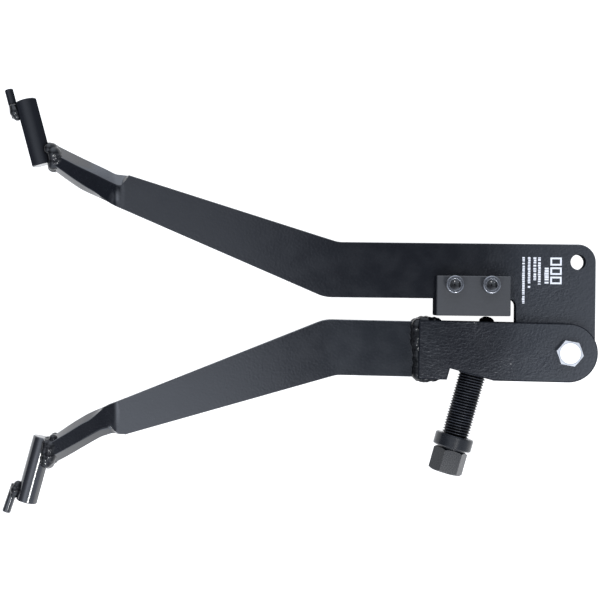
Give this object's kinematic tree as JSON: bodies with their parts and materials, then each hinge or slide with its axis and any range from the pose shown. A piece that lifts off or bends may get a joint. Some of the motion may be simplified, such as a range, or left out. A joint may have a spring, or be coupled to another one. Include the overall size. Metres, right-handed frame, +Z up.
{
  "type": "ball joint separator",
  "caption": "Spreading ball joint separator: two bent arms on one pivot, forced apart at their pin-ended tips by a hex-headed screw spindle.",
  "frame": {"origin": "centre of the underside of the bounding box, with the tool lying flat, bolt head up", "axes": "+Z up along the pivot bolt, +X from the arm tips to the pivot, +Y from the lower arm to the upper arm"},
  "size_m": [0.4296, 0.3081, 0.0501],
  "materials": {
    "black_paint": "semi-gloss black powder coat",
    "weld_black": "glossy black over weld beads",
    "bar_black": "semi-gloss black",
    "block_black": "satin dark grey",
    "black_oxide": "black oxide",
    "zinc": "bright zinc"
  },
  "bodies": {
    "frame": {"lower_arm": "black_paint", "clevis_spacer": "black_paint", "front_cheek": "black_paint", "rear_cheek": "black_paint", "front_cheek_weld": "weld_black", "rear_cheek_weld": "weld_black", "clevis_upper_weld": "weld_black", "clevis_lower_weld": "weld_black", "lower_tip_bar": "bar_black", "lower_bar_weld": "weld_black", "lower_tip_pin": "bar_black", "lower_pin_weld": "weld_black", "pivot_bolt": "zinc", "pivot_washer": "zinc", "pivot_nut": "zinc"},
    "upper_arm": {"upper_arm": "black_paint", "upper_tip_bar": "bar_black", "upper_bar_weld": "weld_black", "upper_tip_pin": "bar_black", "upper_pin_weld": "weld_black", "pressure_block": "block_black", "block_screw_left": "black_oxide", "block_screw_right": "black_oxide"},
    "thrust": {"thrust_piece": "black_oxide"},
    "spindle": {"spindle": "black_oxide"}
  },
  "joints": [
    {"name": "spindle_feed", "type": "slide", "parent": "frame", "child": "thrust", "axis": [0.2731, 0.962, 0], "range_m": [-0.00051, 0.03501]},
    {"name": "spindle_spin", "type": "hinge", "parent": "thrust", "child": "spindle", "pos_m": [0.12429, -0.05981, 0.02715], "axis": [0.2731, 0.962, 0], "range_deg": [-90, 6300]},
    {"name": "arm_open", "type": "hinge", "parent": "frame", "child": "upper_arm", "pos_m": [0.19308, -0.03755, 0.02715], "axis": [0, 0, -1], "range_deg": [-0.49, 33.82]}
  ],
  "couplings": [
    {"joint": "spindle_feed", "follows": "spindle_spin", "m_per_rad": 0.00031831},
    {"joint": "arm_open", "follows": "spindle_spin", "ratio": 0.0053667}
  ]
}
